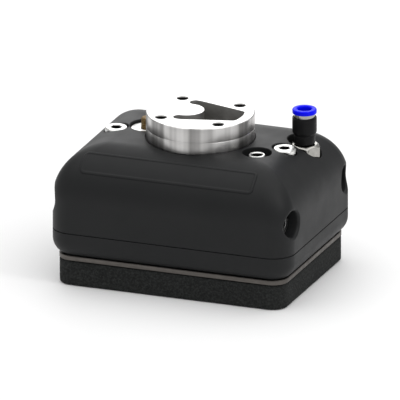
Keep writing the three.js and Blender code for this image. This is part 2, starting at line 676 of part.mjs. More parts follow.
add('foam_pad', foamPad(), foamBlack);
add('valve_plate', valvePlate(), plateMetal);
add('plate_seal', plateSeal(), rubber);
cellCentres().forEach(([x, y], i) => add(`valve_disc_${i + 1}`, valveDisc(x, y), rubber));
add('lower_tray', lowerTray(), housingBlack);
add('filter_mesh', filterMesh(), steel);
add('chamber_lid', chamberLid(), innerPlastic);
pillarCentres().forEach(([x, y], i) => {
  add(`pillar_${CORNERS[i].name}`, pillar(x, y), aluminium);
  add(`pillar_screw_${CORNERS[i].name}`, plateScrew(x, y), steel);
});
add('bridge_plate', bridgePlate(), aluminium);
flangeScrewCentres().forEach(([x, y], i) => add(`flange_screw_${CORNERS[i].name}`, flangeScrew(x, y), steel));
add('tool_flange', toolFlange(), aluminium);
add('upper_shell', upperShell(), housingBlack);
add('top_screw_left', topScrew(-1), steel);
add('top_screw_right', topScrew(1), steel);
CORNERS.forEach((corner) => {
  add(`side_screw_${corner.name}`, sideScrew(corner), darkSteel);
  add(`cover_lug_${corner.name}`, coverLug(corner), aluminium);
});
add('ejector_body', ejectorBody(), innerPlastic);
add('ejector_nozzle', ejectorNozzle(), nickel);
add('ejector_diffuser', ejectorDiffuser(), nickel);
add('suction_duct', suctionDuct(), innerPlastic);
add('manifold_block', manifoldBlock(), aluminium);
add('fitting_base', fittingBase(), nickel);
add('fitting_body', fittingBody(), fittingBlack);
add('fitting_seal', fittingSeal(), rubber);
add('fitting_collet', fittingCollet(), steel);
add('fitting_band', fittingBand(), nickel);
add('release_ring', releaseRing(), collarBlue);
add('sensor_port', sensorPort(), nickel);
add('sensor_insert', sensorInsert(), fittingBlack);
add('vent_cap', ventCap(), steel);
add('vent_silencer', ventPost(), bronze);

export default gripper;
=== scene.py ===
"""Looks of the vacuum area gripper: fine meshes, materials, floor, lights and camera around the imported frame."""

import json
import math

import bmesh
import bpy
import numpy as np
from mathutils import Matrix, Vector, noise


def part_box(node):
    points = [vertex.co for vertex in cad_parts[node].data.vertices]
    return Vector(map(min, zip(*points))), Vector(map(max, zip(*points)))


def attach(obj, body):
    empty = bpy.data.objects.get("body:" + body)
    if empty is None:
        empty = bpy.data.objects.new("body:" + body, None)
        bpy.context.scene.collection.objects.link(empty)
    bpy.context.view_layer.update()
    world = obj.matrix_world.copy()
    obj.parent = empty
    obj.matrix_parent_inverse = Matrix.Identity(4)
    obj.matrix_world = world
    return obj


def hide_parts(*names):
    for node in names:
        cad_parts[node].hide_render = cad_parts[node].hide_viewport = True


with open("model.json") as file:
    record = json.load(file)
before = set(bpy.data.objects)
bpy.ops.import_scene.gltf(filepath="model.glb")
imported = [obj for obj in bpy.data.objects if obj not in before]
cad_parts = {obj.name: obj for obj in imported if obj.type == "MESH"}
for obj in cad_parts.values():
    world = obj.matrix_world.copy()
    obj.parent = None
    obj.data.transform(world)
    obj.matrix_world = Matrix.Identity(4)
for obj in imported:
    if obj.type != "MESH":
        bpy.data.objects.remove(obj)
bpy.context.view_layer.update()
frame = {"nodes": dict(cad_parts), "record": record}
MM = 0.001  # shapes below are in millimetres and meshes in metres


# ---- Places taken from the frame ------------------------------------------------------------------
def low(node):
    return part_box(node)[0] / MM


def high(node):
    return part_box(node)[1] / MM


def middle(node):
    return (low(node) + high(node)) / 2


HALF_X, HALF_Y = high("upper_shell").x, high("upper_shell").y
ROOF = high("upper_shell").z
SHELL_FOOT = low("upper_shell").z
TRAY_TOP, TRAY_FOOT = high("lower_tray").z, low("lower_tray").z
EDGE = 30.0  # the large round along the top edges
CORNER = 14.0  # the upright corners
SHARPEST = 0.8  # corner left where the roof begins
WALL = 2.8
DOME_X, DOME_Y, DOME_Z = HALF_X - EDGE, HALF_Y - EDGE, ROOF - EDGE

# Sizes shared by the pieces, in millimetres
SEAT_GAP = 0.3  # clearance under a seated piece
THROUGH = 5.0  # how far a cutter runs past the surface it opens
TOP_SCREW = {"pocket": 7.3, "hole": 4.4, "boss": 10.0, "boss_foot": 70.3, "head": 8.0, "key": 6.0, "key_depth": 4.0}
SIDE_SCREW = {"pocket": 7.9, "hole": 4.4, "boss": 10.6, "wall": 2.6, "head": 5.4, "key": 5.0, "key_depth": 2.7}
FLANGE_HUB = {"radius": 22.0, "clearance": 0.4, "boss": 34.0, "boss_foot": 76.7}
FITTING_POCKET = {"radius": 9.9, "floor": 65.5, "boss": 12.4, "boss_foot": 63.0, "thread": 7.0}
SENSOR_POCKET = {"radius": 8.6, "floor": 75.0, "boss": 11.2, "boss_foot": 72.4, "hole": 5.15}
VENT_POCKET = {"radius": 10.5, "boss": 13.0, "boss_foot": 74.4, "hole": 5.0}
PAD_CORNER = 9.5
CELL_HALF, CELL_CORNER = 7.0, 2.0
RECESS_DEPTH = 11.0

CORNER_NAMES = ("front_left", "front_right", "rear_left", "rear_right")
CORNER_SIGNS = ((-1, -1), (1, -1), (-1, 1), (1, 1))


# ---- Mesh tools -----------------------------------------------------------------------------------
def new_object(name, vertices, faces):
    mesh = bpy.data.meshes.new(name)
    mesh.from_pydata([tuple(c * MM for c in v) for v in vertices], [], faces)
    mesh.validate()
    obj = bpy.data.objects.new(name, mesh)
    bpy.context.scene.collection.objects.link(obj)
    fix_normals(obj)
    return obj


def fix_normals(obj):
    bm = bmesh.new()
    bm.from_mesh(obj.data)
    bmesh.ops.recalc_face_normals(bm, faces=bm.faces)
    bm.to_mesh(obj.data)
    bm.free()


def apply_modifiers(obj):
    graph = bpy.context.evaluated_depsgraph_get()
    graph.update()
    mesh = bpy.data.meshes.new_from_object(obj.evaluated_get(graph))
    obj.modifiers.clear()
    obj.data = mesh
    return obj


def boolean(obj, tool, operation="DIFFERENCE"):
    modifier = obj.modifiers.new("boolean", "BOOLEAN")
    modifier.operation = operation
    modifier.solver = "EXACT"
    modifier.object = tool
    apply_modifiers(obj)
    bpy.data.objects.remove(tool)
    return obj


def join(objects, name):
    bm = bmesh.new()
    for obj in objects:
        bm.from_mesh(obj.data)
    mesh = bpy.data.meshes.new(name)
    bm.to_mesh(mesh)
    bm.free()
    for obj in objects:
        bpy.data.objects.remove(obj)
    joined = bpy.data.objects.new(name, mesh)
    bpy.context.scene.collection.objects.link(joined)
    return joined


def bevel(obj, width, segments=2, angle=40):
    modifier = obj.modifiers.new("bevel", "BEVEL")
    modifier.width = width * MM
    modifier.segments = segments
    modifier.limit_method = "ANGLE"
    modifier.angle_limit = math.radians(angle)
    modifier.use_clamp_overlap = True
    return apply_modifiers(obj)


def smooth(obj, angle=32):
    for polygon in obj.data.polygons:
        polygon.use_smooth = True
    obj.data.set_sharp_from_angle(angle=math.radians(angle))
    return obj


def ring(half_x, half_y, corner, z, corner_steps=16, side_steps=1):
    """A rounded rectangle as a list of points, anticlockwise from the +X side."""
    points = []
    for quarter, (sx, sy) in enumerate(((1, 1), (-1, 1), (-1, -1), (1, -1))):
        for step in range(corner_steps + 1):
            angle = (quarter + step / corner_steps) * math.pi / 2
            points.append((sx * (half_x - corner) + corner * math.cos(angle),
                           sy * (half_y - corner) + corner * math.sin(angle), z))
    if side_steps > 1:
        filled = []
        for i, a in enumerate(points):
            b = points[(i + 1) % len(points)]
            steps = side_steps if (i + 1) % (corner_steps + 1) == 0 else 1
            filled += [tuple(a[k] + (b[k] - a[k]) * s / steps for k in range(3)) for s in range(steps)]
        points = filled
    return points


def loft(name, rings, closed=False):
    """Skins rings of equal counts, lowest first. Closed joins the last ring to the first, otherwise both ends cap."""
    count = len(rings[0])
    vertices = [p for one in rings for p in one]
    faces = []
    levels = len(rings) if closed else len(rings) - 1
    for level in range(levels):
        a, b = level * count, ((level + 1) % len(rings)) * count
        faces += [(a + i, a + (i + 1) % count, b + (i + 1) % count, b + i) for i in range(count)]
    if not closed:
        faces.append(tuple(reversed(range(count))))
        faces.append(tuple(range((len(rings) - 1) * count, len(rings) * count)))
    return new_object(name, vertices, faces)


def turned(name, profile, x=0.0, y=0.0, sides=96):
    """A piece turned about a vertical axis. Its (radius, z) profile closes on itself unless it ends on the axis."""
    on_axis = profile[0][0] < 1e-6 and profile[-1][0] < 1e-6
    vertices, rows = [], []
    for r, z in profile:
        if r < 1e-6:
            rows.append([len(vertices)])
            vertices.append((x, y, z))
            continue
        rows.append(list(range(len(vertices), len(vertices) + sides)))
        vertices += [(x + r * math.cos(2 * math.pi * i / sides), y + r * math.sin(2 * math.pi * i / sides), z)
                     for i in range(sides)]
    pairs = list(zip(rows, rows[1:]))
    if not on_axis:
        pairs.append((rows[-1], rows[0]))
    faces = []
    for a, b in pairs:
        for i in range(sides):
            j = (i + 1) % sides
            corners = [a[i % len(a)], a[j % len(a)], b[j % len(b)], b[i % len(b)]]
            face = [v for k, v in enumerate(corners) if v not in corners[:k]]
            if len(face) > 2:
                faces.append(tuple(face))
    return new_object(name, vertices, faces)


def eased(profile, radius=0.25, steps=3, closed=True):
    """Rounds every corner of a profile with a small arc-like curve."""
    result = []
    count = len(profile)
    for i, here in enumerate(profile):
        before, after = profile[i - 1], profile[(i + 1) % count]
        if here[0] < 1e-6 or (not closed and i in (0, count - 1)):
            result.append(here)
            continue
        p, a, b = (np.array(v, float) for v in (here, before, after))
        to_a, to_b = a - p, b - p
        length_a, length_b = np.linalg.norm(to_a), np.linalg.norm(to_b)
        reach = min(radius, 0.4 * length_a, 0.4 * length_b)
        start, end = p + to_a / length_a * reach, p + to_b / length_b * reach
        for step in range(steps + 1):
            t = step / steps
            point = (1 - t) ** 2 * start + 2 * t * (1 - t) * p + t ** 2 * end
            result.append((float(point[0]), float(point[1])))
    return result


def rod(name, radius, z0, z1, x, y, sides=48, end_radius=None):
    top = radius if end_radius is None else end_radius
    return turned(name, [(0, z0), (radius, z0), (top, z1), (0, z1)], x, y, sides)


def hexagon(name, across, z0, z1, x, y, point_depth=0.0):
    profile = [(0, z0 - point_depth), (across / math.sqrt(3), z0), (across / math.sqrt(3), z1), (0, z1)]
    return turned(name, profile, x, y, 6)


def stand_for(obj, node, body, material, angle=32):
    """The finished piece takes the CAD node's place on its body."""
    obj.name = node + "_look"
    obj.data.name = obj.name
    smooth(obj, angle)
    obj.data.materials.clear()
    obj.data.materials.append(material)
    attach(obj, body)
    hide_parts(node)
    return obj


def darken(obj, inside):
    """Gives the faces whose centre, in millimetres, is inside the near-black painted shade of sockets and bores."""
    obj.data.materials.append(SHADOW)
    for polygon in obj.data.polygons:
        if inside(polygon.center / MM):
            polygon.material_index = 1


# ---- The housing's outer surface --------------------------------------------------------------------
def dome_level(angle, grow=0.0):
    """Half sizes, corner and height of the dome at an angle from 0 at the wall to a right angle at the roof."""
    radius, corner = EDGE + grow, CORNER + grow
    reach = radius * math.cos(angle)
    return (DOME_X + reach, DOME_Y + reach, SHARPEST + (corner - SHARPEST) * math.cos(angle),
            DOME_Z + radius * math.sin(angle))


def outline_distance(x, y, half_x, half_y, corner):
    """Signed distance from a rounded rectangle, negative inside."""
    qx, qy = abs(x) - (half_x - corner), abs(y) - (half_y - corner)
    return math.hypot(max(qx, 0), max(qy, 0)) + min(max(qx, qy), 0) - corner


def roof_height(x, y):
    """Height of the housing's outer surface over a point of the plan."""
    inner, outer = math.pi / 2, 0.0
    if outline_distance(x, y, *dome_level(inner)[:3]) <= 0:
        return ROOF
    for _ in range(40):
        angle = (inner + outer) / 2
        if outline_distance(x, y, *dome_level(angle)[:3]) > 0:
            inner = angle
        else:
            outer = angle
    return dome_level((inner + outer) / 2)[3]


def wall_reach(y, z):
    """Distance of the end wall's outer surface from the middle plane, at a place on it."""
    angle = math.asin(min(max((z - DOME_Z) / EDGE, 0), 1))
    half_x, half_y, corner, _ = dome_level(angle)
    beyond = min(max(abs(y) - (half_y - corner), 0), corner * 0.999)
    return half_x - corner + math.sqrt(corner ** 2 - beyond ** 2)


def dome(name, foot, grow=0.0, steps=36, corner_steps=20):
    half_x, half_y, corner, _ = dome_level(0, grow)
    rings = [ring(half_x, half_y, corner, foot, corner_steps)]
    if grow == 0:
        lip = 0.18  # small break along the parting line
        rings[0] = ring(half_x - lip, half_y - lip, corner - lip, foot, corner_steps)
        rings.append(ring(half_x, half_y, corner, foot + lip, corner_steps))
    for step in range(steps + 1):
        half_x, half_y, corner, z = dome_level(step / steps * math.pi / 2, grow)
        rings.append(ring(half_x, half_y, corner, z, corner_steps))
    return loft(name, rings)


def rim(radius, fillet, steps=6):
    """Rounded mouth of a pocket as (radius, height over the surface), stopping just short of tangent."""
    last = math.radians(70)
    points = []
    for step in range(steps + 1):
        angle = step / steps * last
        points.append((radius + fillet * (1 - math.cos(angle)), -fillet * (1 - math.sin(angle))))
    reach, height = points[-1]
    points.append((reach + (1 - height) * math.tan(last), 1.0))
    return points


def roof_pocket(name, x, y, radius, floor, fillet=0.6, sides=72, floor_fillet=0.5, wall_height=2.0):
    """Cutter for a round pocket in the roof. Its rounded mouth follows the dome."""
    wall = eased([(0, floor), (radius, floor), (radius, floor + wall_height)], floor_fillet, 4, closed=False)
    rows = [[(r, z)] * sides for r, z in wall]
    mouth = rim(radius, fillet)
    for r, over in mouth:
        row = []
        for i in range(sides):
            angle = 2 * math.pi * i / sides
            row.append((r, roof_height(x + r * math.cos(angle), y + r * math.sin(angle)) + over))
        rows.append(row)
    rows.append([(mouth[-1][0], ROOF + 20)] * sides)
    return cutter_from_rows(name, rows, sides, lambda r, h, angle: (
        x + r * math.cos(angle), y + r * math.sin(angle), h))


def end_pocket(name, side, y, z, radius, floor, fillet=1.5, sides=72):
    """Cutter for a round pocket in an end wall, running along X."""
    wall = eased([(0, floor), (radius, floor), (radius, floor + 2)], 0.5, 4, closed=False)
    rows = [[(r, h)] * sides for r, h in wall]
    mouth = rim(radius, fillet)
    for r, over in mouth:
        row = []
        for i in range(sides):
            angle = 2 * math.pi * i / sides
            row.append((r, wall_reach(y + r * math.cos(angle), z + r * math.sin(angle)) + over))
        rows.append(row)
    rows.append([(mouth[-1][0], HALF_X + 20)] * sides)
    return cutter_from_rows(name, rows, sides, lambda r, h, angle: (
        side * h, y + r * math.cos(angle), z + r * math.sin(angle)))


def cutter_from_rows(name, rows, sides, place):
    """Skins rows of (radius, height) per side, with a fan at both ends."""
    vertices = [place(0, rows[0][0][1], 0)]
    start = []
    for row in rows[1:]:
        start.append(len(vertices))
        vertices += [place(r, h, 2 * math.pi * i / sides) for i, (r, h) in enumerate(row)]
    faces = [(0, start[0] + (i + 1) % sides, start[0] + i) for i in range(sides)]
    for a, b in zip(start, start[1:]):
        faces += [(a + i, a + (i + 1) % sides, b + (i + 1) % sides, b + i) for i in range(sides)]
    faces.append(tuple(range(start[-1], start[-1] + sides)))
    return new_object(name, vertices, faces)


# ---- Materials --------------------------------------------------------------------------------------
class Look:
    """A Principled material with short ways to add procedural nodes. Coordinates are metres on the object."""

    def __init__(self, name, color, roughness, metallic=0.0, **sockets):
        self.material = bpy.data.materials.new(name)
        self.material.use_nodes = True
        self.nodes = self.material.node_tree.nodes
        self.links = self.material.node_tree.links
        self.shader = self.nodes["Principled BSDF"]
        self.shader.inputs["Base Color"].default_value = (*color, 1)
        self.shader.inputs["Roughness"].default_value = roughness
        self.shader.inputs["Metallic"].default_value = metallic
        for socket, value in sockets.items():
            self.shader.inputs[socket.replace("_", " ")].default_value = value
        self.coordinates = self.nodes.new("ShaderNodeTexCoord").outputs["Object"]
        self.height = None

    def link(self, start, end):
        self.links.new(start, end)
        return self

    def scaled(self, factors):
        mapping = self.nodes.new("ShaderNodeMapping")
        mapping.inputs["Scale"].default_value = factors
        self.link(self.coordinates, mapping.inputs["Vector"])
        return mapping.outputs["Vector"]

    def noise(self, scale, detail=3.0, roughness=0.5, stretch=(1, 1, 1)):
        node = self.nodes.new("ShaderNodeTexNoise")
        node.inputs["Scale"].default_value = scale
        node.inputs["Detail"].default_value = detail
        node.inputs["Roughness"].default_value = roughness
        self.link(self.scaled(stretch), node.inputs["Vector"])
        return node.outputs["Fac"]

    def cells(self, scale):
        node = self.nodes.new("ShaderNodeTexVoronoi")
        node.inputs["Scale"].default_value = scale
        self.link(self.coordinates, node.inputs["Vector"])
        return node.outputs["Distance"]

    def remap(self, value, from_low, from_high, to_low, to_high):
        node = self.nodes.new("ShaderNodeMapRange")
        node.inputs["From Min"].default_value = from_low
        node.inputs["From Max"].default_value = from_high
        node.inputs["To Min"].default_value = to_low
        node.inputs["To Max"].default_value = to_high
        self.link(value, node.inputs["Value"])
        return node.outputs["Result"]

    def color_from(self, factor, first, second):
        """Base colour running from the first colour to the second with the factor."""
        node = self.nodes.new("ShaderNodeMix")
        node.data_type = "RGBA"
        node.inputs[6].default_value = (*first, 1)
        node.inputs[7].default_value = (*second, 1)
        self.link(factor, node.inputs[0])
        return self.link(node.outputs[2], self.shader.inputs["Base Color"])

    def roughness_from(self, value, low_value, high_value):
        return self.link(self.remap(value, 0.3, 0.7, low_value, high_value), self.shader.inputs["Roughness"])

    def bump(self, value, depth, strength=1.0):
        """Adds a height in metres over the last one."""
        node = self.nodes.new("ShaderNodeBump")
        node.inputs["Distance"].default_value = depth
        node.inputs["Strength"].default_value = strength
        self.link(value, node.inputs["Height"])
        if self.height is not None:
            self.link(self.height, node.inputs["Normal"])
        self.height = node.outputs["Normal"]
        return self.link(self.height, self.shader.inputs["Normal"])


def housing_look():
    """Matt black moulding with a fine eroded grain."""
    look = Look("housing_plastic", (0.011, 0.0115, 0.012), 0.5, Specular_IOR_Level=0.2)
    look.color_from(look.noise(30, 3), (0.0095, 0.01, 0.0105), (0.0125, 0.013, 0.0135))
    look.roughness_from(look.noise(90, 2), 0.46, 0.52)
    look.bump(look.noise(3200, 2, 0.6), 0.00003, 0.4)
    return look.material


def foam_look():
    """Closed-cell foam rubber: cut bubbles, some of them open."""
    look = Look("foam_rubber", (0.02, 0.021, 0.0205), 0.95, Specular_IOR_Level=0.25)
    bubbles = look.cells(1150)
    grain = look.remap(look.noise(900, 4, 0.7), 0.42, 0.72, 0, 1)
    look.color_from(grain, (0.009, 0.0096, 0.0094), (0.032, 0.034, 0.033))
    look.roughness_from(look.noise(500), 0.88, 1.0)
    look.bump(bubbles, 0.00035, 0.7)
    look.bump(look.cells(3600), 0.0001, 0.5)
    return look.material


def plate_look():
    """Sawn aluminium edge, gone dull, with streaks along the cut."""
    look = Look("plate_metal", (0.2, 0.185, 0.17), 0.45, 1.0)
    streaks = look.noise(900, 3, 0.6, (0.05, 0.05, 1))
    look.color_from(streaks, (0.08, 0.073, 0.067), (0.15, 0.138, 0.128))
    look.roughness_from(look.noise(260), 0.38, 0.55)
    look.bump(streaks, 0.00003, 0.6)
    return look.material


def turned_look():
    """Side of the tool flange: upright light and dark streaks of painted reflection over fine turning rings."""
    look = Look("turned_aluminium", (0.6, 0.6, 0.59), 0.24, 1.0)
    # Painted reflection: upright light and dark streaks in the base colour.
    streaks = look.remap(look.noise(110, 2, 0.5, (1, 1, 0)), 0.38, 0.62, 0, 1)
    look.color_from(streaks, (0.22, 0.215, 0.21), (0.66, 0.65, 0.64))
    look.roughness_from(look.noise(140, 2, 0.5, (1, 1, 0)), 0.3, 0.42)
    look.bump(look.noise(4200, 2, 0.5, (0.004, 0.004, 1)), 0.000006, 0.5)
    return look.material


def faced_look():
    """Faced top of the tool flange, satin, with faint arcs left by the cutter."""
    look = Look("faced_aluminium", (0.9, 0.9, 0.89), 0.36, 1.0)
    wave = look.nodes.new("ShaderNodeTexWave")
    wave.wave_type = "RINGS"
    wave.rings_direction = "Z"
    wave.inputs["Scale"].default_value = 900
    wave.inputs["Distortion"].default_value = 0.6
    look.link(look.coordinates, wave.inputs["Vector"])
    look.color_from(look.noise(80, 3), (0.87, 0.87, 0.86), (0.94, 0.94, 0.93))
    look.roughness_from(look.noise(240, 3), 0.32, 0.42)
    look.bump(wave.outputs["Fac"], 0.000004, 0.5)
    return look.material


def milled_recess_shade_look():
    """Milled recess walls and floor: darker than the face, which is painted shade in the recess, and duller."""
    look = Look("milled_aluminium_recess_shade", (0.3, 0.295, 0.285), 0.42, 1.0)
    # The darker base colour is painted shade in the recess.
    look.color_from(look.noise(180, 3), (0.24, 0.237, 0.23), (0.37, 0.363, 0.35))
    look.roughness_from(look.noise(400, 3), 0.34, 0.5)
    look.bump(look.noise(2400, 2, 0.5, (1, 1, 0.1)), 0.00002, 0.5)
    return look.material


def shadow_look():
    """Painted shade: near-black colour inside sockets, threads and bores."""
    look = Look("painted_socket_shade", (0.006, 0.006, 0.006), 0.6, Specular_IOR_Level=0.15)
    look.roughness_from(look.noise(700, 2), 0.55, 0.7)
    return look.material


def steel_look():
    look = Look("bright_steel", (0.8, 0.8, 0.78), 0.3, 1.0)
    look.color_from(look.noise(300, 3), (0.76, 0.76, 0.74), (0.85, 0.85, 0.83))
    look.roughness_from(look.noise(400, 3), 0.26, 0.36)
    look.bump(look.noise(3800, 2), 0.000006, 0.4)
    return look.material


def dark_steel_look():
    """Blackened screw, rubbed to a dull shine."""
    look = Look("dark_steel", (0.2, 0.2, 0.2), 0.34, 1.0)
    look.color_from(look.noise(240, 3), (0.13, 0.13, 0.13), (0.28, 0.28, 0.275))
    look.roughness_from(look.noise(400, 3), 0.28, 0.42)
    look.bump(look.noise(3800, 2), 0.000008, 0.4)
    return look.material


def nickel_look():
    look = Look("nickel_plate", (0.5, 0.49, 0.46), 0.2, 1.0)
    look.color_from(look.noise(300, 3), (0.24, 0.235, 0.22), (0.5, 0.49, 0.46))
    look.roughness_from(look.noise(420, 3), 0.12, 0.24)
    look.bump(look.noise(2600, 2, 0.5, (0.01, 0.01, 1)), 0.000008, 0.5)
    return look.material


def fitting_look():
    """Glass-filled plastic of the fitting, satin with a faint flow mark."""
    look = Look("fitting_plastic", (0.008, 0.008, 0.0085), 0.4, Specular_IOR_Level=0.1)
    look.color_from(look.noise(160, 4), (0.006, 0.006, 0.0065), (0.01, 0.01, 0.0105))
    look.roughness_from(look.noise(900, 3), 0.34, 0.46)
    look.bump(look.noise(5200, 2), 0.00002, 0.4)
    return look.material


def collar_look():
    look = Look("collar_blue", (0.001, 0.003, 0.85), 0.45, Specular_IOR_Level=0.08)
    look.color_from(look.noise(260, 3), (0.001, 0.002, 0.78), (0.002, 0.005, 0.92))
    look.roughness_from(look.noise(1200, 3), 0.3, 0.4)
    look.bump(look.noise(4200, 2), 0.000012, 0.4)
    return look.material


def bronze_look():
    """Sintered bronze: small balls melted together, with painted shade darkening the pores between them."""
    look = Look("sintered_bronze", (0.42, 0.29, 0.12), 0.5, 1.0)
    balls = look.cells(2400)
    # Painted shade: the colour darkens away from each ball's centre into the pores.
    look.color_from(look.remap(balls, 0.1, 0.6, 0, 1), (0.52, 0.37, 0.17), (0.12, 0.075, 0.03))
    look.roughness_from(look.noise(900, 3), 0.4, 0.62)
    look.bump(balls, 0.0003, 0.9)
    return look.material


def rubber_look():
    look = Look("seal_rubber", (0.016, 0.016, 0.016), 0.75)
    look.color_from(look.noise(300, 3), (0.012, 0.012, 0.012), (0.024, 0.024, 0.024))
    look.bump(look.noise(2600, 3), 0.00004, 0.5)
    return look.material


def inner_plastic_look():
    look = Look("inner_plastic", (0.07, 0.07, 0.074), 0.55)
    look.color_from(look.noise(120, 3), (0.055, 0.055, 0.058), (0.085, 0.085, 0.09))
    look.roughness_from(look.noise(600, 3), 0.48, 0.62)
    look.bump(look.noise(2800, 2), 0.00003, 0.4)
    return look.material


def bare_aluminium_look():
    look = Look("milled_bar", (0.7, 0.7, 0.69), 0.34, 1.0)
    look.color_from(look.noise(140, 3, 0.5, (1, 0.1, 1)), (0.62, 0.62, 0.61), (0.76, 0.76, 0.75))
    look.roughness_from(look.noise(500, 3), 0.28, 0.42)
    look.bump(look.noise(3000, 2, 0.5, (1, 0.05, 1)), 0.00001, 0.5)
    return look.material


LOOKS = {
    "housing": housing_look(), "foam": foam_look(), "plate": plate_look(), "aluminium": bare_aluminium_look(),
    "steel": steel_look(), "nickel": nickel_look(), "fitting_plastic": fitting_look(), "collar": collar_look(),
    "bronze": bronze_look(), "rubber": rubber_look(), "inner_plastic": inner_plastic_look(),
}
# SHADOW is painted shade, put inside sockets, threads and bores.
SHADOW, DARK_STEEL = shadow_look(), dark_steel_look()


# ---- Housing ----------------------------------------------------------------------------------------
def sideways(obj, sx, sy):
    """Lays a piece that stands on the origin along X, at the place of a side screw."""
    obj.data.transform(Matrix.Rotation(sx * math.pi / 2, 4, "Y"))
    obj.data.transform(Matrix.Translation(Vector((0, sy * SIDE_Y, SIDE_Z)) * MM))
    return obj


def upper_shell():
    screws = [middle("top_screw_left"), middle("top_screw_right")]
    shell = dome("upper_shell_raw", SHELL_FOOT)
    cavity = dome("cavity", SHELL_FOOT - THROUGH, -WALL, steps=8, corner_steps=6)
    bosses = [(place, TOP_SCREW) for place in screws]
    bosses += [(Vector((0, 0, 0)), FLANGE_HUB), (FITTING, FITTING_POCKET), (SENSOR, SENSOR_POCKET), (VENT, VENT_POCKET)]
    for place, size in bosses:
        boolean(cavity, rod("boss", size["boss"], size["boss_foot"], ROOF + THROUGH, place.x, place.y, 32))
    for sx, sy in CORNER_SIGNS:
        foot = SIDE_SEAT - SIDE_SCREW["wall"]
        boolean(cavity, sideways(rod("boss", SIDE_SCREW["boss"], foot, HALF_X + THROUGH, 0, 0, 32), sx, sy))
    boolean(shell, cavity)
    cutters = [roof_pocket("cut", place.x, 0, TOP_SCREW["pocket"], TOP_SEAT, 0.5) for place in screws]
    cutters += [
        roof_pocket("cut", FITTING.x, FITTING.y, FITTING_POCKET["radius"], FITTING_POCKET["floor"], 0.6),
        roof_pocket("cut", SENSOR.x, SENSOR.y, SENSOR_POCKET["radius"], SENSOR_POCKET["floor"], 0.5),
        roof_pocket("cut", 0, 0, FLANGE_RADIUS + FLANGE_HUB["clearance"], FLANGE_FOOT - SEAT_GAP, 0.5, 160, 0.1, 0.25),
        roof_pocket("cut", VENT.x, VENT.y, VENT_POCKET["radius"], low("vent_cap").z - SEAT_GAP, 1.0),
        rod("cut", FLANGE_HUB["radius"] + FLANGE_HUB["clearance"], 60, ROOF + THROUGH, 0, 0, 96),
        rod("cut", FITTING_POCKET["thread"], 55, 70, FITTING.x, FITTING.y),
        rod("cut", SENSOR_POCKET["hole"], 60, 78, SENSOR.x, SENSOR.y),
        rod("cut", VENT_POCKET["hole"], 60, 79, VENT.x, VENT.y),
    ]
    cutters += [rod("cut", TOP_SCREW["hole"], 60, 75, place.x, 0) for place in screws]
    for cutter in cutters:
        boolean(shell, cutter)
    for sx, sy in CORNER_SIGNS:
        boolean(shell, end_pocket("cut", sx, sy * SIDE_Y, SIDE_Z, SIDE_SCREW["pocket"], SIDE_SEAT, 1.9))
        boolean(shell, sideways(rod("cut", SIDE_SCREW["hole"], 50, 70, 0, 0), sx, sy))
    stand_for(shell, "upper_shell", "gripper", LOOKS["housing"], 30)
    weighted(shell)


def weighted(obj):
    """Keeps large flat faces flat in shading beside their rounds."""
    modifier = obj.modifiers.new("weighted_normals", "WEIGHTED_NORMAL")
    modifier.keep_sharp = True
    modifier.weight = 100


def label_panel():
    """Blank raised panel with a thin border on the front slope."""
    centre_x, half_width = -2.5, 53.5
    centre_angle, half_height, corner = math.radians(49), 7.5, 3.0
    profile = [(0.0, -0.3), (0.05, 0.25), (0.2, 0.45), (0.4, 0.5), (1.3, 0.5), (1.5, 0.44), (1.65, 0.25), (1.8, 0.2),
               (2.6, 0.2), (3.8, 0.2), (5.2, 0.2), (6.4, 0.2), (7.3, 0.2)]
    rings = []
    for inset, height in profile:
        outline = ring(half_width - inset, half_height - inset, max(corner - inset, 0.15), 0, 8, 60)
        rings.append([on_front_slope(centre_x + x, centre_angle + y / EDGE, height) for x, y, _ in outline])
    deep = [on_front_slope(centre_x + x, centre_angle + y / EDGE, -0.6)
            for x, y, _ in ring(half_width - 0.1, half_height - 0.1, corner - 0.1, 0, 8, 60)]
    panel = loft("label_panel", [deep] + rings)
    smooth(panel, 50)
    panel.data.materials.append(LOOKS["housing"])
    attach(panel, "gripper")


def on_front_slope(x, angle, over):
    """A point over the front round, at an angle above the wall."""
    y = -(DOME_Y + EDGE * math.cos(angle))
    z = roof_height(x, y)
    step = 0.05
    slope_x = (roof_height(x + step, y) - roof_height(x - step, y)) / (2 * step)
    slope_y = (roof_height(x, y + step) - roof_height(x, y - step)) / (2 * step)
    normal = Vector((-slope_x, -slope_y, 1)).normalized()
    return Vector((x, y, z)) + normal * over


def lower_tray():
    foot_radius, curve_z, steps = 10.0, 27.3, 20
    lip, foot_break = 0.18, 0.4  # small breaks along the parting line and the foot
    lowest = math.asin((TRAY_FOOT - curve_z) / foot_radius)

    def level(inset, z):
        return ring(HALF_X - inset, HALF_Y - inset, CORNER - inset, z, 20)

    rings = [level(foot_radius * (1 - math.cos(lowest)) + foot_break, TRAY_FOOT)]
    for step in range(steps + 1):
        angle = lowest * (1 - step / steps)
        lift = 0.25 if step == 0 else 0
        rings.append(level(foot_radius * (1 - math.cos(angle)), curve_z + foot_radius * math.sin(angle) + lift))
    rings += [level(0, TRAY_TOP - lip), level(lip, TRAY_TOP)]
    tray = loft("tray_raw", rings)
    chamber, lid_seat = (68.5, 50, 9, 24.4), (71.2, 52.7, 10.7, 28.7)  # half sizes, corner and floor
    for half_x, half_y, corner, floor_z in (chamber, lid_seat):
        boolean(tray, loft("cut", [ring(half_x, half_y, corner, z, 12) for z in (floor_z, 40)]))
    chambers = [rod("cut", 4.8, 10, TRAY_FOOT + 3.1, x, y, 32) for x, y in CELLS]
    outlets = [rod("cut", 1.8, 20, 30, x, y, 24) for x, y in CELLS]
    posts = [rod("cut", 6.8, 10, 40, x, y, 32) for x, y in PILLARS]
    for group in (chambers, outlets, posts):
        boolean(tray, join(group, "cut"))
    stand_for(tray, "lower_tray", "gripper", LOOKS["housing"], 30)
    weighted(tray)


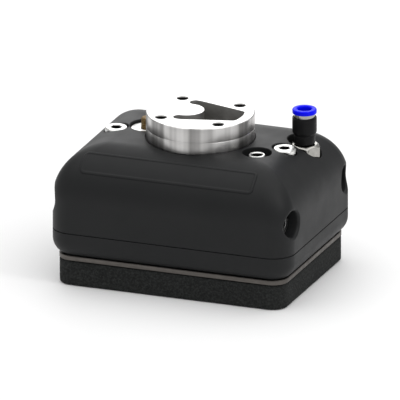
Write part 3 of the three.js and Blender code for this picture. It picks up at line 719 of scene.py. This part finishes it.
# ---- Pad and plate ------------------------------------------------------------------------------------
def foam_pad():
    """Cut block of closed-cell foam with square suction cells and slightly uneven faces."""
    top = high("foam_pad").z
    half_x, half_y = high("foam_pad").x - 0.15, high("foam_pad").y - 0.15
    foam = loft("foam_raw", [ring(half_x, half_y, PAD_CORNER, z, 16) for z in (0.05, top)])
    cell = ring(CELL_HALF, CELL_HALF, CELL_CORNER, 0, 8)
    cutters = [loft("cut", [[(x + dx, y + dy, z) for dx, dy, _ in cell] for z in (-5, 25)]) for x, y in CELLS]
    boolean(foam, join(cutters, "cut"))
    remesh = foam.modifiers.new("remesh", "REMESH")
    remesh.mode = "VOXEL"
    remesh.voxel_size = 0.8 * MM
    apply_modifiers(foam)
    ease = foam.modifiers.new("ease", "SMOOTH")
    ease.iterations = 2
    ease.factor = 0.5
    apply_modifiers(foam)
    for vertex, normal in zip(foam.data.vertices, [v.normal.copy() for v in foam.data.vertices]):
        coarse = noise.noise(vertex.co * 90) * 0.10
        fine = noise.noise(vertex.co * 700 + Vector((7, 3, 5))) * 0.06
        moved = vertex.co + normal * (coarse + fine) * MM
        moved.z = min(max(moved.z, 0.0), top * MM)
        vertex.co = moved
    stand_for(foam, "foam_pad", "gripper", LOOKS["foam"], 60)


def valve_plate():
    bottom, top = low("valve_plate").z, high("valve_plate").z
    half_x, half_y = high("valve_plate").x, high("valve_plate").y
    edge = 0.3  # broken edge
    levels = ((edge, bottom), (0, bottom + edge), (0, top - edge), (edge, top))
    plate = loft("plate_raw", [ring(half_x - d, half_y - d, PAD_CORNER - d, z, 24) for d, z in levels])
    seats = [rod("cut", 2.6, 10, 25, x, y, 32) for x, y in CELLS]
    boolean(plate, join(seats, "cut"))
    sinks = [rod("cut", 5.4, bottom - 0.05, bottom + 2.6, x, y, 32, 2.8) for x, y in PILLARS]
    holes = [rod("cut", 2.8, 10, 25, x, y, 32) for x, y in PILLARS]
    boolean(plate, join(sinks, "cut"))
    boolean(plate, join(holes, "cut"))
    stand_for(plate, "valve_plate", "gripper", LOOKS["plate"], 30)


# ---- Tool flange --------------------------------------------------------------------------------------
def arc(centre_x, centre_y, radius, start, end, steps):
    return [(centre_x + radius * math.cos(start + (end - start) * i / steps),
             centre_y + radius * math.sin(start + (end - start) * i / steps)) for i in range(steps + 1)]


def flange_pocket(bottom, top):
    """The milled recess: a tapering slot that closes round a half-moon boss."""
    boss_x, boss, outer, end_x, end_y = -8.5, 10.2, 17.0, 24.3, 8.5
    tip, shoulder = math.radians(88.5), math.radians(72)
    mid, tip_radius = (boss + outer) / 2, (outer - boss) / 2
    tip_x, tip_y = boss_x + mid * math.cos(tip), mid * math.sin(tip)
    end_angle, end_radius = math.atan2(end_y, end_x), math.hypot(end_x, end_y)
    corner = 1.6
    upper = arc(boss_x, 0, boss, 0, tip, 28) + arc(tip_x, tip_y, tip_radius, tip + math.pi, tip, 20)[1:]
    upper += arc(boss_x, 0, outer, tip, shoulder, 10)[1:]
    end = arc(0, 0, end_radius, end_angle - corner / end_radius, 0, 12)
    start_corner = Vector(upper[-1])
    point = Vector((end_x, end_y))
    before = point + (start_corner - point).normalized() * corner
    after = Vector(end[0])
    rounded = [tuple((1 - t) ** 2 * before + 2 * t * (1 - t) * point + t ** 2 * after)
               for t in (0, 0.25, 0.5, 0.75, 1)]
    upper += rounded + end[1:]
    outline = upper + [(x, -y) for x, y in reversed(upper[1:-1])]
    return loft("pocket", [[(x, y, bottom) for x, y in outline], [(x, y, top) for x, y in outline]])


def threaded(name, radius, depth, x, y, z, pitch=1.0):
    """Cutter for a threaded hole from z downwards: a chamfered mouth over a stack of grooves."""
    profile = [(0, z - depth - 1.6), (radius - 0.5, z - depth)]
    turns = int((depth - 1.2) / pitch)
    for turn in range(turns):
        height = z - depth + turn * pitch
        profile += [(radius - 0.5, height + 0.1), (radius, height + 0.45 * pitch), (radius, height + 0.55 * pitch)]
    profile += [(radius - 0.5, z - 0.9), (radius - 0.1, z - 0.5)]
    profile += [(radius + 0.4, z), (radius + 0.4, z + 2), (0, z + 2)]
    return turned(name, profile, x, y, 40)


def tool_flange():
    radius, top = FLANGE_RADIUS, high("tool_flange").z
    bottom, foot = low("tool_flange").z, FLANGE_FOOT
    hub = FLANGE_HUB["radius"]
    line = top - 8.8  # fine line turned round the side
    profile = [(0, bottom), (hub, bottom), (hub, foot), (radius - 0.6, foot), (radius, foot + 0.6)]
    profile += [(radius, line - 0.15), (radius - 0.15, line), (radius, line + 0.15)]
    profile += [(radius, top - 0.45), (radius - 0.45, top), (0, top)]
    flange = turned("flange_raw", profile, 0, 0, 160)
    boolean(flange, flange_pocket(top - RECESS_DEPTH, top + THROUGH))
    bevel(flange, 0.28, 2, 40)
    offset = 25 * math.sqrt(0.5)
    for (sx, sy), corner in zip(CORNER_SIGNS, CORNER_NAMES):
        boolean(flange, threaded("cut", 3.2, 12, sx * offset, sy * offset, top))
        place = middle("flange_screw_" + corner)
        boolean(flange, rod("cut", 3.3, 60, 81, place.x, place.y, 32))
    flange.name = "tool_flange_look"
    smooth(flange, 30)
    for look in (turned_look(), faced_look(), milled_recess_shade_look(), SHADOW):
        flange.data.materials.append(look)
    for polygon in flange.data.polygons:
        centre = polygon.center / MM
        reach = math.hypot(centre.x, centre.y)
        if centre.z > top - 0.2 and polygon.normal.z > 0.9:
            polygon.material_index = 1
        elif reach > radius - 1.5 or reach > 21 and centre.z < foot + 0.1:
            polygon.material_index = 0
        # Threaded holes take the near-black painted shade.
        elif abs(abs(centre.x) - offset) < 3.8 and abs(abs(centre.y) - offset) < 3.8 and centre.z < top - 0.6:
            polygon.material_index = 3
        else:
            polygon.material_index = 2
    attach(flange, "gripper")
    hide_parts("tool_flange")


# ---- Fasteners ----------------------------------------------------------------------------------------
def socket_screw(length, height, across, depth, head=6.6, shank=3.9):
    """Socket head screw with a finely knurled head, its top at the origin."""
    sides, knurl = 144, 0.11
    profile = eased([(0, -height - length), (shank - 0.5, -height - length), (shank, -height - length + 0.5),
                     (shank, -height), (head, -height), (head, -0.8), (head - 0.55, 0), (0, 0)], 0.25, 3)
    screw = turned("screw", profile, 0, 0, sides)
    for vertex in screw.data.vertices:
        reach = math.hypot(vertex.co.x, vertex.co.y) / MM
        if reach > head - 0.05 and -height + 0.2 < vertex.co.z / MM < -1.0:
            turn = round(math.atan2(vertex.co.y, vertex.co.x) / (2 * math.pi) * sides)
            shrink = 1 - (knurl / head if turn % 2 else 0)
            vertex.co.x *= shrink
            vertex.co.y *= shrink
    boolean(screw, hexagon("cut", across, -depth, 2, 0, 0, 1.2))
    key = across / math.sqrt(3)
    return boolean(screw, rod("cut", key - 0.15, -0.25, 0.25, 0, 0, 48, key + 0.35))


def top_screws():
    height, across, depth = (TOP_SCREW[size] for size in ("head", "key", "key_depth"))
    for name, turn in (("top_screw_left", 0.35), ("top_screw_right", 0.1)):
        place = Vector((middle(name).x, middle(name).y, high(name).z))
        screw = socket_screw(place.z - low(name).z - height, height, across, depth)
        screw.data.transform(Matrix.Rotation(turn, 4, "Z"))
        screw.data.transform(Matrix.Translation(place * MM))
        stand_for(screw, name, "gripper", LOOKS["steel"], 30)
        # The inside of the key socket is painted shade.
        darken(screw, lambda c: math.hypot(c.x - place.x, c.y - place.y) < 3.4 and place.z - 6 < c.z < place.z - 0.3)


def side_screws():
    height, across, depth = (SIDE_SCREW[size] for size in ("head", "key", "key_depth"))
    for (sx, sy), corner in zip(CORNER_SIGNS, CORNER_NAMES):
        name = "side_screw_" + corner
        face = high(name).x if sx > 0 else -low(name).x
        screw = socket_screw(high(name).x - low(name).x - height, height, across, depth)
        screw.data.transform(Matrix.Rotation(0.5 * sy + 0.2, 4, "Z"))
        screw.data.transform(Matrix.Rotation(sx * math.pi / 2, 4, "Y"))
        screw.data.transform(Matrix.Translation(Vector((sx * face, middle(name).y, middle(name).z)) * MM))
        stand_for(screw, name, "gripper", DARK_STEEL, 30)
        # The inside of the key socket is painted shade.
        darken(screw, lambda c: (
            math.hypot(c.y - sy * SIDE_Y, c.z - SIDE_Z) < 2.9 and face - 4.2 < abs(c.x) < face - 0.3))


# ---- Ports on the roof ----------------------------------------------------------------------------------
def fitting():
    x, y = FITTING.x, FITTING.y
    base = turned("base", eased([
        (3, 51), (6.0, 51), (6.5, 51.8), (6.5, 65.8), (9.4, 65.8), (9.4, 77.3), (7.2, 78.7), (3.9, 78.7), (3.9, 83),
        (3, 83)], 0.25), x, y)
    boolean(base, hexagon("nut", 16.6, 50, 84, x, y), "INTERSECT")
    bevel(base, 0.15, 2, 50)
    stand_for(base, "fitting_base", "gripper", LOOKS["nickel"])
    body = turned("body", eased([
        (4.2, 79.1), (5.9, 79.1), (6.25, 79.5), (6.25, 83.9), (6.05, 84.1), (6.05, 84.5), (6.25, 84.7), (6.4, 84.95),
        (7.05, 86.0), (7.15, 86.4), (7.15, 94.5), (6.95, 95.1), (6.35, 95.1), (6.35, 88.0), (4.2, 88.0), (4.2, 84.3),
        (3.2, 84.3), (3.2, 83.3), (4.2, 83.3)], 0.2), x, y)
    stand_for(body, "fitting_body", "fitting_swivel", LOOKS["fitting_plastic"])
    band = turned("band", eased([(5.4, 92.7), (6.05, 92.7), (6.05, 97.4), (5.4, 97.4)], 0.2), x, y)
    stand_for(band, "fitting_band", "fitting_swivel", LOOKS["nickel"])
    collar = turned("collar", eased([
        (4.1, 93.6), (5.1, 93.6), (5.1, 98.9), (6.4, 98.9), (6.4, 97.5), (6.95, 97.5), (7.1, 97.7), (7.1, 99.6),
        (6.7, 100.1), (4.8, 100.1), (4.4, 99.9), (4.1, 99.3)], 0.22), x, y)
    stand_for(collar, "release_ring", "release_ring", LOOKS["collar"])


def sensor_port():
    x, y = SENSOR.x, SENSOR.y
    profile = [(3.45, 70.5), (4.85, 70.5), (4.85, 80.2), (4.45, 80.6), (3.75, 80.6), (3.35, 80.2)]
    for turn in range(4):
        height = 79.7 - turn * 0.9
        profile += [(3.35, height), (3.6, height - 0.3), (3.6, height - 0.45), (3.35, height - 0.75)]
    profile.append((3.35, 75.8))
    port = turned("port", profile, x, y, 72)
    stand_for(port, "sensor_port", "gripper", LOOKS["steel"], 40)
    # The bore of the port is painted shade.
    darken(port, lambda c: math.hypot(c.x - x, c.y - y) < 3.7 and c.z < 80.3)
    insert = turned("insert", eased([(0, 70.6), (3.05, 70.6), (3.05, 76.3), (0, 76.3)], 0.25), x, y, 48)
    for sx, sy in CORNER_SIGNS:
        boolean(insert, rod("cut", 0.45, 73, 78, x + sx * 1.2, y + sy * 1.2, 16))
    stand_for(insert, "sensor_insert", "gripper", LOOKS["fitting_plastic"])


def vent():
    x, y = VENT.x, VENT.y
    foot, top = low("vent_cap").z, high("vent_cap").z
    cap = turned("cap", eased([
        (4.3, foot), (10.2, foot), (10.2, top - 0.4), (9.8, top), (8.6, top), (8.3, top - 0.3), (5.4, top - 0.3),
        (4.9, top), (4.3, top)], 0.15), x, y)
    stand_for(cap, "vent_cap", "gripper", LOOKS["steel"])
    foot, top = low("vent_silencer").z, high("vent_silencer").z
    profile = [(0, foot), (3.7, foot), (4.0, foot + 0.4), (4.0, top - 1.3)]
    profile += [(3.1 + 0.8 * math.cos(a), top - 0.9 + 0.8 * math.sin(a)) for a in np.linspace(0, math.pi / 2, 6)]
    profile += [(1.2, top - 0.1), (0, top - 0.2)]
    post = turned("post", profile, x, y, 120)
    for vertex, normal in zip(post.data.vertices, [v.normal.copy() for v in post.data.vertices]):
        vertex.co += normal * noise.noise(vertex.co * 2600) * 0.05 * MM
    stand_for(post, "vent_silencer", "gripper", LOOKS["bronze"], 60)


# ---- What stays as it is in the frame ----------------------------------------------------------------------
def finish_frame_nodes():
    """The remaining CAD nodes keep their shape, get small bevels and the material of their slot."""
    slots = {row["node"]: row["material_slot"] for row in frame["record"]["subparts"]}
    for name, node in frame["nodes"].items():
        node.data.materials.clear()
        node.data.materials.append(LOOKS[slots[name]])
        if node.hide_render:
            continue
        modifier = node.modifiers.new("edge", "BEVEL")
        modifier.width = 0.15 * MM
        modifier.segments = 2
        modifier.limit_method = "ANGLE"
        modifier.angle_limit = math.radians(40)
        smooth(node, 35)


# ---- Floor, lights and camera --------------------------------------------------------------------------------
def floor():
    size = 3.0
    mesh = bpy.data.meshes.new("floor")
    mesh.from_pydata([(-size, -size, 0), (size, -size, 0), (size, size, 0), (-size, size, 0)], [], [(0, 1, 2, 3)])
    plane = bpy.data.objects.new("floor", mesh)
    bpy.context.scene.collection.objects.link(plane)
    look = Look("floor_paper", (0.9, 0.9, 0.9), 0.9, Specular_IOR_Level=0.1)
    look.color_from(look.noise(6, 2), (0.89, 0.89, 0.89), (0.91, 0.91, 0.91))
    mesh.materials.append(look.material)
    plane.location.z = -0.0002


def area_light(name, place, target, size, power):
    data = bpy.data.lights.new(name, "AREA")
    data.energy = power
    data.size = size
    light = bpy.data.objects.new(name, data)
    bpy.context.scene.collection.objects.link(light)
    light.location = place
    light.rotation_euler = (Vector(target) - Vector(place)).to_track_quat("-Z", "Y").to_euler()


def lights():
    """White studio: a wide soft light overhead and cards where the photograph shows highlights."""
    bpy.context.scene.view_settings.view_transform = "Standard"
    world = bpy.data.worlds.new("studio")
    bpy.context.scene.world = world
    world.use_nodes = True
    world.node_tree.nodes["Background"].inputs["Color"].default_value = (1, 1, 1, 1)
    world.node_tree.nodes["Background"].inputs["Strength"].default_value = 0.5
    target = (0, 0, 0.08)
    area_light("top", (0, 0, 1.2), target, 2.2, 17)
    area_light("rear_card", (-0.36, 0.98, 0.45), target, 0.7, 2.6)
    area_light("right_card", (0.78, -0.23, 0.66), target, 0.2, 1.6)


def camera():
    """Parallel view from the front right, as the photograph has it."""
    azimuth, elevation = math.radians(20.7), math.radians(19.44)
    right = Vector((math.cos(azimuth), math.sin(azimuth), 0))
    flat = math.cos(elevation)
    back = Vector((math.sin(azimuth) * flat, -math.cos(azimuth) * flat, math.sin(elevation)))
    up = back.cross(right)
    data = bpy.data.cameras.new("camera")
    data.type = "ORTHO"
    data.ortho_scale = 0.23139
    data.clip_end = 20
    camera_object = bpy.data.objects.new("camera", data)
    bpy.context.scene.collection.objects.link(camera_object)
    camera_object.matrix_world = Matrix((
        (right.x, up.x, back.x, 0), (right.y, up.y, back.y, 0), (right.z, up.z, back.z, 0), (0, 0, 0, 1)))
    camera_object.location = right * -0.226 * MM + up * 40.38 * MM + back * 0.8
    bpy.context.scene.camera = camera_object


# ---- Assembly ----------------------------------------------------------------------------------------------------
FITTING, SENSOR, VENT = middle("fitting_body"), middle("sensor_port"), middle("vent_cap")
SIDE_Y, SIDE_Z = middle("side_screw_rear_right").y, middle("side_screw_rear_right").z
SIDE_SEAT = high("side_screw_rear_right").x - SIDE_SCREW["head"] - SEAT_GAP
FLANGE_RADIUS, FLANGE_FOOT = high("tool_flange").x, 80.9
TOP_SEAT = high("top_screw_right").z - TOP_SCREW["head"] - SEAT_GAP
PILLARS = [(sx * middle("pillar_rear_right").x, sy * middle("pillar_rear_right").y) for sx, sy in CORNER_SIGNS]
CELLS = [tuple(middle(f"valve_disc_{i}"))[:2] for i in range(1, 13)]

camera()
lights()
floor()
upper_shell()
label_panel()
lower_tray()
foam_pad()
valve_plate()
tool_flange()
top_screws()
side_screws()
fitting()
sensor_port()
vent()
finish_frame_nodes()
